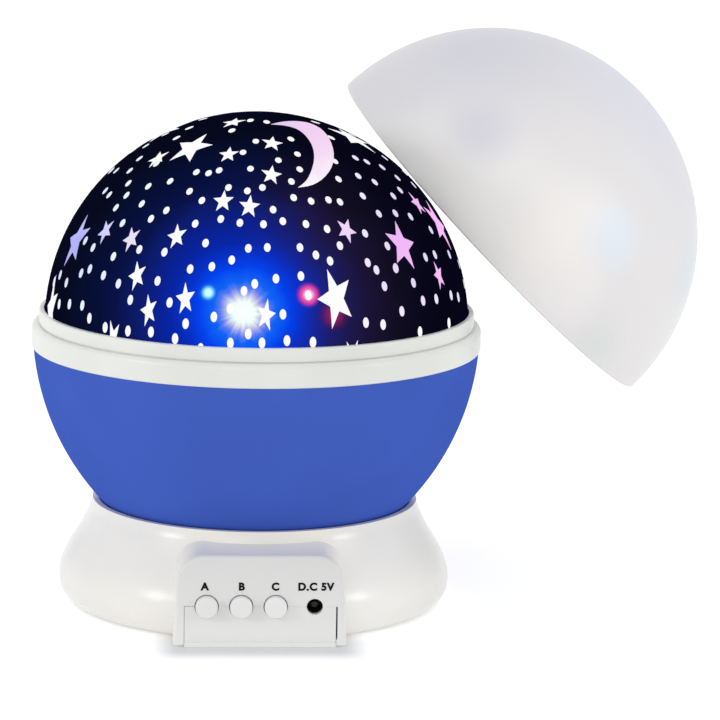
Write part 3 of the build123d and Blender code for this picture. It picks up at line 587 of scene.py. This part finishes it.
FINISHES = {
    # the foot carries painted light and shade in its patches, and painted shade over the hood's
    # flat front
    "foot_white": plastic(
        "foot_white_finish", srgb(238, 236, 231), roughness=0.25, bump=0.03,
        patches=FOOT_LIGHT_AND_SHADE, hood_front_shade=(srgb(236, 236, 234), srgb(221, 222, 220)),
    ),
    "bowl_blue": plastic(
        "bowl_blue_finish", srgb(69, 98, 194), roughness=0.45, specular=0.0, share=0.03, bump=0.08
    ),
    "ring_white": plastic("ring_white_finish", srgb(231, 233, 229), roughness=0.32),
    "dome_dark": film("dome_dark_finish", (0.0006, 0.0006, 0.002, 1.0)),
    # the cover's colour under its patches of painted light, painted highlights and painted shade
    "cover_milk": pearl("cover_milk_finish", srgb(237, 235, 236), COVER_LIGHT_AND_SHADE),
    "button_white": plastic("button_white_finish", srgb(236, 236, 236), roughness=0.42),
    "socket_black": plastic("socket_black_finish", srgb(18, 18, 19), roughness=0.5, share=0.1),
    "rubber_grey": plastic(
        "rubber_grey_finish", srgb(150, 150, 152), roughness=0.75, specular=0.25, share=0.06,
        bump=0.4,
    ),
    "steel": metal("steel_finish", srgb(190, 190, 194)),
    "nickel": metal("nickel_finish", srgb(200, 196, 188), roughness=0.38),
    # the pin's dark grey is painted shade for the inside of the socket
    "brass_pin": metal("brass_pin_shaded_finish", srgb(66, 64, 62), roughness=0.55),
    "board_green": board("board_green_finish", srgb(32, 104, 62)),
    "led_warm_white": lamp("led_warm_white_finish", srgb(240, 234, 220), (1.0, 0.85, 0.6, 1.0)),
    "led_red": lamp("led_red_finish", srgb(236, 124, 108), (1.0, 0.08, 0.04, 1.0)),
    "led_green": lamp("led_green_finish", srgb(124, 230, 148), (0.05, 1.0, 0.15, 1.0)),
    "led_blue": lamp("led_blue_finish", srgb(124, 170, 244), (0.05, 0.3, 1.0, 1.0)),
    "gear_nylon": plastic("gear_nylon_finish", srgb(230, 229, 222), roughness=0.5, share=0.04),
    "post_white": plastic("post_white_finish", srgb(230, 230, 229), roughness=0.5),
    "cell_jacket": plastic("cell_jacket_finish", srgb(62, 64, 70), share=0.12),
    "motor_can": metal("motor_can_finish", srgb(186, 186, 190)),
    "lead_grey": plastic("lead_grey_finish", srgb(137, 137, 140), roughness=0.6, share=0.05),
}
for part in NODES.values():
    part.material_slots[0].material = FINISHES[part.material_slots[0].name]


# --- shapes: helpers ---
def add_object(name, data):
    """A new object that shows the data."""
    made = bpy.data.objects.new(name, data)
    bpy.context.scene.collection.objects.link(made)
    return made


def new_mesh(name, vertices, faces, finish):
    mesh = bpy.data.meshes.new(name)
    mesh.from_pydata(vertices, [], faces)
    mesh.validate()
    mesh.materials.append(finish)
    return mesh


def turned_about_z(point, degrees):
    return Matrix.Rotation(math.radians(degrees), 3, "Z") @ point


# --- the film's stars, moon and dots ---
def stretch(from_top):
    """How much taller than wide the print is, as the formed film is drawn down its sides."""
    return 1.27 + 0.48 * (from_top / 78) ** 6 + 0.17 * max(0.0, 1 - from_top / 25)


def on_film(bearing, from_top, x, y):
    """Direction of a point x mm right and y mm up from a place on the dome."""
    out = heading(bearing, from_top)
    right = heading(bearing + 90, 90)
    up = right.cross(out) * -1
    point = (out + (right * x + up * y * stretch(from_top)) / DOME_R).normalized()
    low = math.degrees(math.acos(max(-1.0, min(1.0, point.z))))
    if low > HIDDEN_BELOW:
        room = LOWEST - HIDDEN_BELOW
        low = HIDDEN_BELOW + room * (1 - math.exp((HIDDEN_BELOW - low) / room))
        around = math.degrees(math.atan2(point.x, -point.y))
        point = heading(around, low)
    return point


def from_above(x, y):
    """Direction of the dome's point that a plan shows at x and y, in mm."""
    return Vector((x, y, math.sqrt(DOME_R**2 - x * x - y * y))).normalized()


def star_patch(bearing, from_top, size, turn, rings=4):
    """Points and faces of a star on the film."""
    outline = []
    for k in range(20):
        corner, part = divmod(k, 2)
        radii = [size if (corner + j) % 2 == 0 else size * STAR_INNER for j in (0, 1)]
        angles = [math.radians(turn + 36 * (corner + j)) for j in (0, 1)]
        ends = [(r * math.sin(a), r * math.cos(a)) for r, a in zip(radii, angles)]
        outline.append([e0 + (e1 - e0) * part / 2 for e0, e1 in zip(*ends)])
    points = [on_film(bearing, from_top, 0, 0)]
    for ring in range(1, rings + 1):
        inner = [(x * ring / rings, y * ring / rings) for x, y in outline]
        points += [on_film(bearing, from_top, x, y) for x, y in inner]
    count = len(outline)
    faces = [(0, 1 + (k + 1) % count, 1 + k) for k in range(count)]
    for ring in range(rings - 1):
        a, b = 1 + ring * count, 1 + (ring + 1) * count
        faces += [(a + k, a + (k + 1) % count, b + (k + 1) % count, b + k) for k in range(count)]
    return points, faces


def dot_patch(bearing, from_top, sides=18):
    """Points and faces of a dot, tallest near the top and low on the sides."""
    tall = 1.15 + 0.3 * (from_top / 78) ** 3 + 0.5 * max(0.0, 1 - from_top / 30)
    tall /= stretch(from_top)
    points = [on_film(bearing, from_top, 0, 0)]
    for k in range(sides):
        a = 2 * math.pi * k / sides
        points.append(on_film(bearing, from_top, DOT_HALF_WIDTH * math.sin(a), tall * math.cos(a)))
    return points, [(0, 1 + (k + 1) % sides, 1 + k) for k in range(sides)]


def catmull_rom(a, b, c, d, t):
    """The curve between b and c at t, on one axis."""
    square = 2 * a - 5 * b + 4 * c - d
    cube = 3 * b - a - 3 * c + d
    return 0.5 * (2 * b + (c - a) * t + square * t**2 + cube * t**3)


def smooth_line(points, count):
    """Count + 1 points evenly along a Catmull-Rom curve through the given ones."""
    ends = [points[0]] + list(points) + [points[-1]]
    made = []
    for k in range(count + 1):
        at = (len(points) - 1) * k / count
        i = min(int(at), len(points) - 2)
        made.append(tuple(catmull_rom(*near, at - i) for near in zip(*ends[i:i + 4])))
    return made


def moon_patch(turn, steps=28, across=6):
    """Points and faces of the crescent, whose rows shrink to one point at its tips."""
    outer, inner = smooth_line(MOON_OUTER, steps), smooth_line(MOON_INNER, steps)
    points, rows = [], []
    for (ox, oy), (ix, iy) in zip(outer, inner):
        row = []
        tip = (ox - ix) ** 2 + (oy - iy) ** 2 < 1e-9
        for j in range(1 if tip else across + 1):
            row.append(len(points))
            point = from_above(ox + (ix - ox) * j / across, oy + (iy - oy) * j / across)
            points.append(turned_about_z(point, turn))
        rows.append(row)
    faces = []
    for a, b in zip(rows, rows[1:]):
        for j in range(across):
            a0, a1 = (a[min(j + k, len(a) - 1)] for k in (0, 1))
            b0, b1 = (b[min(j + k, len(b) - 1)] for k in (0, 1))
            unique = list(dict.fromkeys((a0, a1, b1, b0)))
            if len(unique) > 2:
                faces.append(tuple(unique))
    return points, faces


def inlay(name, patches, finish, proud=INLAY_PROUD):
    """One mesh of thin closed inlays in the dome's skin."""
    vertices, faces = [], []
    for points, tops in patches:
        first = len(vertices)
        count = len(points)
        middle = sum((points[i] for i in tops[0]), Vector()) / len(tops[0])
        a, b, c = (points[i] for i in tops[0][:3])
        if (b - a).cross(c - a).dot(middle) < 0:
            tops = [tuple(reversed(f)) for f in tops]
        vertices += [DOME_CENTRE + p * (DOME_R + proud) * MM for p in points]
        vertices += [DOME_CENTRE + p * (DOME_R - INLAY_DEEP) * MM for p in points]
        edges = {(f[k], f[(k + 1) % len(f)]) for f in tops for k in range(len(f))}
        for face in tops:
            faces.append([first + i for i in face])
            faces.append([first + count + i for i in reversed(face)])
        for i, j in edges:
            if (j, i) not in edges:
                faces.append([first + j, first + i, first + count + i, first + count + j])
    made = add_object(name, new_mesh(name, vertices, faces, finish))
    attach(made, "ball")


def mm_apart(first, second):
    return DOME_R * first.angle(second)


def twice(rows):
    """The front's print and the same print again on the far side."""
    return [(bearing + turn, *rest) for turn in (0, 180) for bearing, *rest in rows]


def with_side_dots(dots, stars):
    """The dots, and those that fill the bands at the sides clear of the rest of the print."""
    towards_camera = heading(CAMERA_BEARING, 90 - CAMERA_CLIMB)
    star_places = [(heading(bearing, low), size) for bearing, low, size, _ in stars]
    edge = [from_above(x, y) for x, y in MOON_OUTER + MOON_INNER]
    moon_places = [turned_about_z(point, turn) for turn in (0, 180) for point in edge]
    dot_places = [heading(*dot) for dot in dots]

    def is_clear(here):
        return (
            all(mm_apart(here, p) > DOT_ROOM for p in dot_places)
            and all(mm_apart(here, s) > size * STAR_SHARE + STAR_ROOM for s, size in star_places)
            and all(mm_apart(here, p) > MOON_ROOM for p in moon_places)
        )

    filled = list(dots)
    for row in SIDE_ROWS:
        count = round(2 * math.pi * DOME_R * math.sin(math.radians(row)) / DOT_PITCH)
        stagger = 0.5 * (row // SIDE_ROWS.step % 2)
        for k in range(count):
            bearing = -180 + 360 * (k + stagger + 0.2 * math.sin(7.1 * k + row)) / count
            low = row + 1.2 * math.sin(3.7 * k + 0.6 * row)
            here = heading(bearing, low)
            in_band = SIDE_BAND[0] < abs(bearing) < SIDE_BAND[1]
            in_view = here.dot(towards_camera) > PAST_HORIZON
            if in_band and not in_view and is_clear(here):
                filled.append((bearing, low))
                dot_places.append(here)
    return filled


white_stars, tinted_stars = twice(WHITE_STARS), twice(TINTED_STARS)
dots = with_side_dots(twice(DOTS), white_stars + tinted_stars)
white = lit_clear("film_white", WHITE_ACROSS)
speckled = lit_clear("film_dots_lit", DOTS_ACROSS, DOTS_UPWARD)
tinted = lit_clear("film_tinted", TINTED_ACROSS)
moonlit = lit_clear("film_moonlit", MOON_ACROSS, MOON_UPWARD)
inlay("film_stars_white", [star_patch(*s) for s in white_stars], white)
inlay("film_stars_tinted", [star_patch(*s) for s in tinted_stars], tinted)
inlay("film_moon", [moon_patch(turn) for turn in (0, 180)], moonlit, proud=MOON_PROUD)
inlay("film_dots", [dot_patch(*d) for d in dots], speckled)


# --- lettering ---
def label(words, x, finish):
    """Printed capitals on the hood's face."""
    hood = NODES["base_shell"]
    ahead = Vector((x * MM, -0.1, (LABEL_Z + LABEL_CAP / 2) * MM))
    struck, place, _, _ = hood.ray_cast(ahead, -FRONT)
    if not struck:
        raise ValueError(f"no face behind label {words}")
    curve = bpy.data.curves.new("text", "FONT")
    curve.body = words
    curve.align_x = "CENTER"
    curve.size = LABEL_CAP / CAP_SHARE * MM
    curve.offset = LABEL_BOLD * MM
    curve.bevel_depth = LABEL_BEVEL * MM
    curve.bevel_resolution = 1
    curve.extrude = LABEL_THICK * MM
    curve.space_character = LABEL_SPACING
    text = add_object("text", curve)
    upright = Matrix.Rotation(math.pi / 2, 4, "X")
    text.matrix_world = Matrix.Translation((x * MM, place.y, LABEL_Z * MM)) @ upright
    bpy.context.view_layer.update()
    shown = text.evaluated_get(bpy.context.evaluated_depsgraph_get())
    mesh = bpy.data.meshes.new_from_object(shown)
    mesh.transform(text.matrix_world)
    bpy.data.objects.remove(text)
    mesh.materials.clear()
    mesh.materials.append(finish)
    made = add_object("label_" + "".join(c for c in words if c.isalnum()), mesh)
    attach(made, "foot")


ink = plastic("ink_black", srgb(6, 6, 7), roughness=0.6, specular=0.1, share=0.15)
for words, x in LABELS:
    label(words, x, ink)


# --- grip ribs under the battery door, beside its screw tab ---
def grip_ribs(middles, half_length=8.0, half_width=0.45, deep=0.3, sides=12, steps=10):
    """Half-round ribs across the door at the given y, with round ends."""
    door = NODES["battery_door"]
    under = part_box("battery_door")[0][2]
    vertices, faces = [], []
    for y in middles:
        first = len(vertices)
        for k in range(1, steps):
            at = math.pi * k / steps
            thin = min(1.0, 1.6 * math.sin(at))
            for j in range(sides):
                a = 2 * math.pi * j / sides
                vertices.append((
                    -half_length * MM * math.cos(at), (y + half_width * thin * math.cos(a)) * MM,
                    under + deep * thin * MM * math.sin(a),
                ))
        rings = steps - 1
        for k in range(rings - 1):
            a, b = first + k * sides, first + (k + 1) * sides
            for j in range(sides):
                faces.append((a + j, b + j, b + (j + 1) % sides, a + (j + 1) % sides))
        faces.append([first + j for j in range(sides)])
        faces.append([first + (rings - 1) * sides + j for j in reversed(range(sides))])
    mesh = new_mesh("door_grip_ribs", vertices, faces, door.material_slots[0].material)
    mesh.polygons.foreach_set("use_smooth", [True] * len(mesh.polygons))
    made = add_object("door_grip_ribs", mesh)
    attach(made, "battery_door")


grip_ribs([RIB_FIRST + RIB_PITCH * k for k in range(RIB_COUNT)])


# --- floor, light and camera ---
def seen(tree):
    """One for rays that look at the surroundings, straight, in a mirror or through glass."""
    path = node(tree, "ShaderNodeLightPath").outputs
    both = maths(tree, "MAXIMUM", path["Is Camera Ray"], path["Is Glossy Ray"])
    return maths(tree, "MAXIMUM", both, path["Is Transmission Ray"])


def fade(tree, value, start, end):
    """From 0 at start to 1 at end, in mm."""
    if start > end:
        return maths(tree, "SUBTRACT", 1.0, fade(tree, value, end, start))
    return ranged(tree, value, start * MM, end * MM, smooth=True)


def contact_shadow(tree):
    """One right under the foot and the hood, fading to nought beside them."""
    place = object_place(tree)
    x, y, _ = axes_of(tree, place)
    under_foot = fade(tree, vector_maths(tree, "LENGTH", place), *FOOT_SHADOW)
    front, back = fade(tree, y, *HOOD_SHADOW_FRONT), fade(tree, y, *HOOD_SHADOW_BACK)
    side = fade(tree, maths(tree, "ABSOLUTE", x), *HOOD_SHADOW_SIDE)
    under_hood = maths(tree, "MULTIPLY", maths(tree, "MULTIPLY", front, side), back)
    return maths(tree, "MAXIMUM", under_foot, under_hood)


def paper(tree, reflected, glow):
    """White paper that also glows, so that the floor comes out as white as the background."""
    sheet = node(tree, "ShaderNodeBsdfDiffuse", {"Color": (reflected,) * 3 + (1.0,)}).outputs[0]
    table = node(
        tree, "ShaderNodeEmission", {"Color": (1.0, 1.0, 0.99, 1.0), "Strength": glow}
    ).outputs[0]
    return node(tree, "ShaderNodeAddShader", {0: sheet, 1: table}).outputs[0]


def floor():
    material = bpy.data.materials.new("floor_white")
    material.use_nodes = True
    tree = material.node_tree
    tree.nodes.clear()
    reflected, glow = FLOOR_SEEN
    taken = maths(tree, "MULTIPLY", contact_shadow(tree), SHADOW_DEPTH)
    shown = paper(tree, reflected, maths(tree, "SUBTRACT", glow, taken))
    hidden = paper(tree, *FLOOR_HIDDEN)
    both = node(tree, "ShaderNodeMixShader", {0: seen(tree), 1: hidden, 2: shown}).outputs[0]
    node(tree, "ShaderNodeOutputMaterial", {"Surface": both})
    material.cycles.emission_sampling = "NONE"
    side = FLOOR_HALF_SIDE
    corners = [(-side, -side, 0), (side, -side, 0), (side, side, 0), (-side, side, 0)]
    made = add_object("floor", new_mesh("floor", corners, [(0, 1, 2, 3)], material))


def background(tree, colour, strength):
    return node(tree, "ShaderNodeBackground", {"Color": colour, "Strength": strength}).outputs[0]


def world():
    """A white background that lights the object less from the front than from elsewhere."""
    made = bpy.data.worlds.new("studio")
    bpy.context.scene.world = made
    made.use_nodes = True
    tree = made.node_tree
    tree.nodes.clear()
    ahead = axes_of(tree, node(tree, "ShaderNodeTexCoord").outputs["Generated"])["Y"]
    level = ranged(tree, ahead, *WORLD_TURNS, WORLD_FRONT, WORLD_BACK)
    light = background(tree, (1.0, 1.0, 1.0, 1.0), level)
    back = background(tree, (1.0, 1.0, 0.99, 1.0), 1.0)
    both = node(tree, "ShaderNodeMixShader", {0: seen(tree), 1: light, 2: back}).outputs[0]
    node(tree, "ShaderNodeOutputWorld", {"Surface": both})


def soft_box(name, place, size, power):
    """Square lamp that looks at the object."""
    data = bpy.data.lights.new(name, "AREA")
    data.size = size
    data.energy = power
    made = add_object(name, data)
    made.location = place
    made.rotation_mode = "QUATERNION"
    made.rotation_quaternion = (LAMPS_LOOK_AT - Vector(place)).to_track_quat("-Z", "Y")


def camera():
    """The camera at its bearing and climb from the front, rolled about its own axis."""
    turn, climb, roll = (math.radians(a) for a in (CAMERA_BEARING, CAMERA_CLIMB, CAMERA_ROLL))
    back = Vector((
        math.sin(turn) * math.cos(climb), -math.cos(turn) * math.cos(climb), math.sin(climb)
    ))
    level = Vector((math.cos(turn), math.sin(turn), 0.0))
    above = back.cross(level)
    right = level * math.cos(roll) + above * math.sin(roll)
    up = above * math.cos(roll) - level * math.sin(roll)
    data = bpy.data.cameras.new("camera")
    data.sensor_width = CAMERA_SENSOR
    data.lens = CAMERA_LENS
    made = add_object("camera", data)
    stand = Matrix.Translation(CAMERA_TARGET + back * CAMERA_AWAY)
    made.matrix_world = stand @ Matrix((right, up, back)).transposed().to_4x4()
    bpy.context.scene.camera = made


floor()
world()
for lamp_row in LAMPS:
    soft_box(*lamp_row)
camera()
bpy.context.scene.view_settings.view_transform = "Standard"
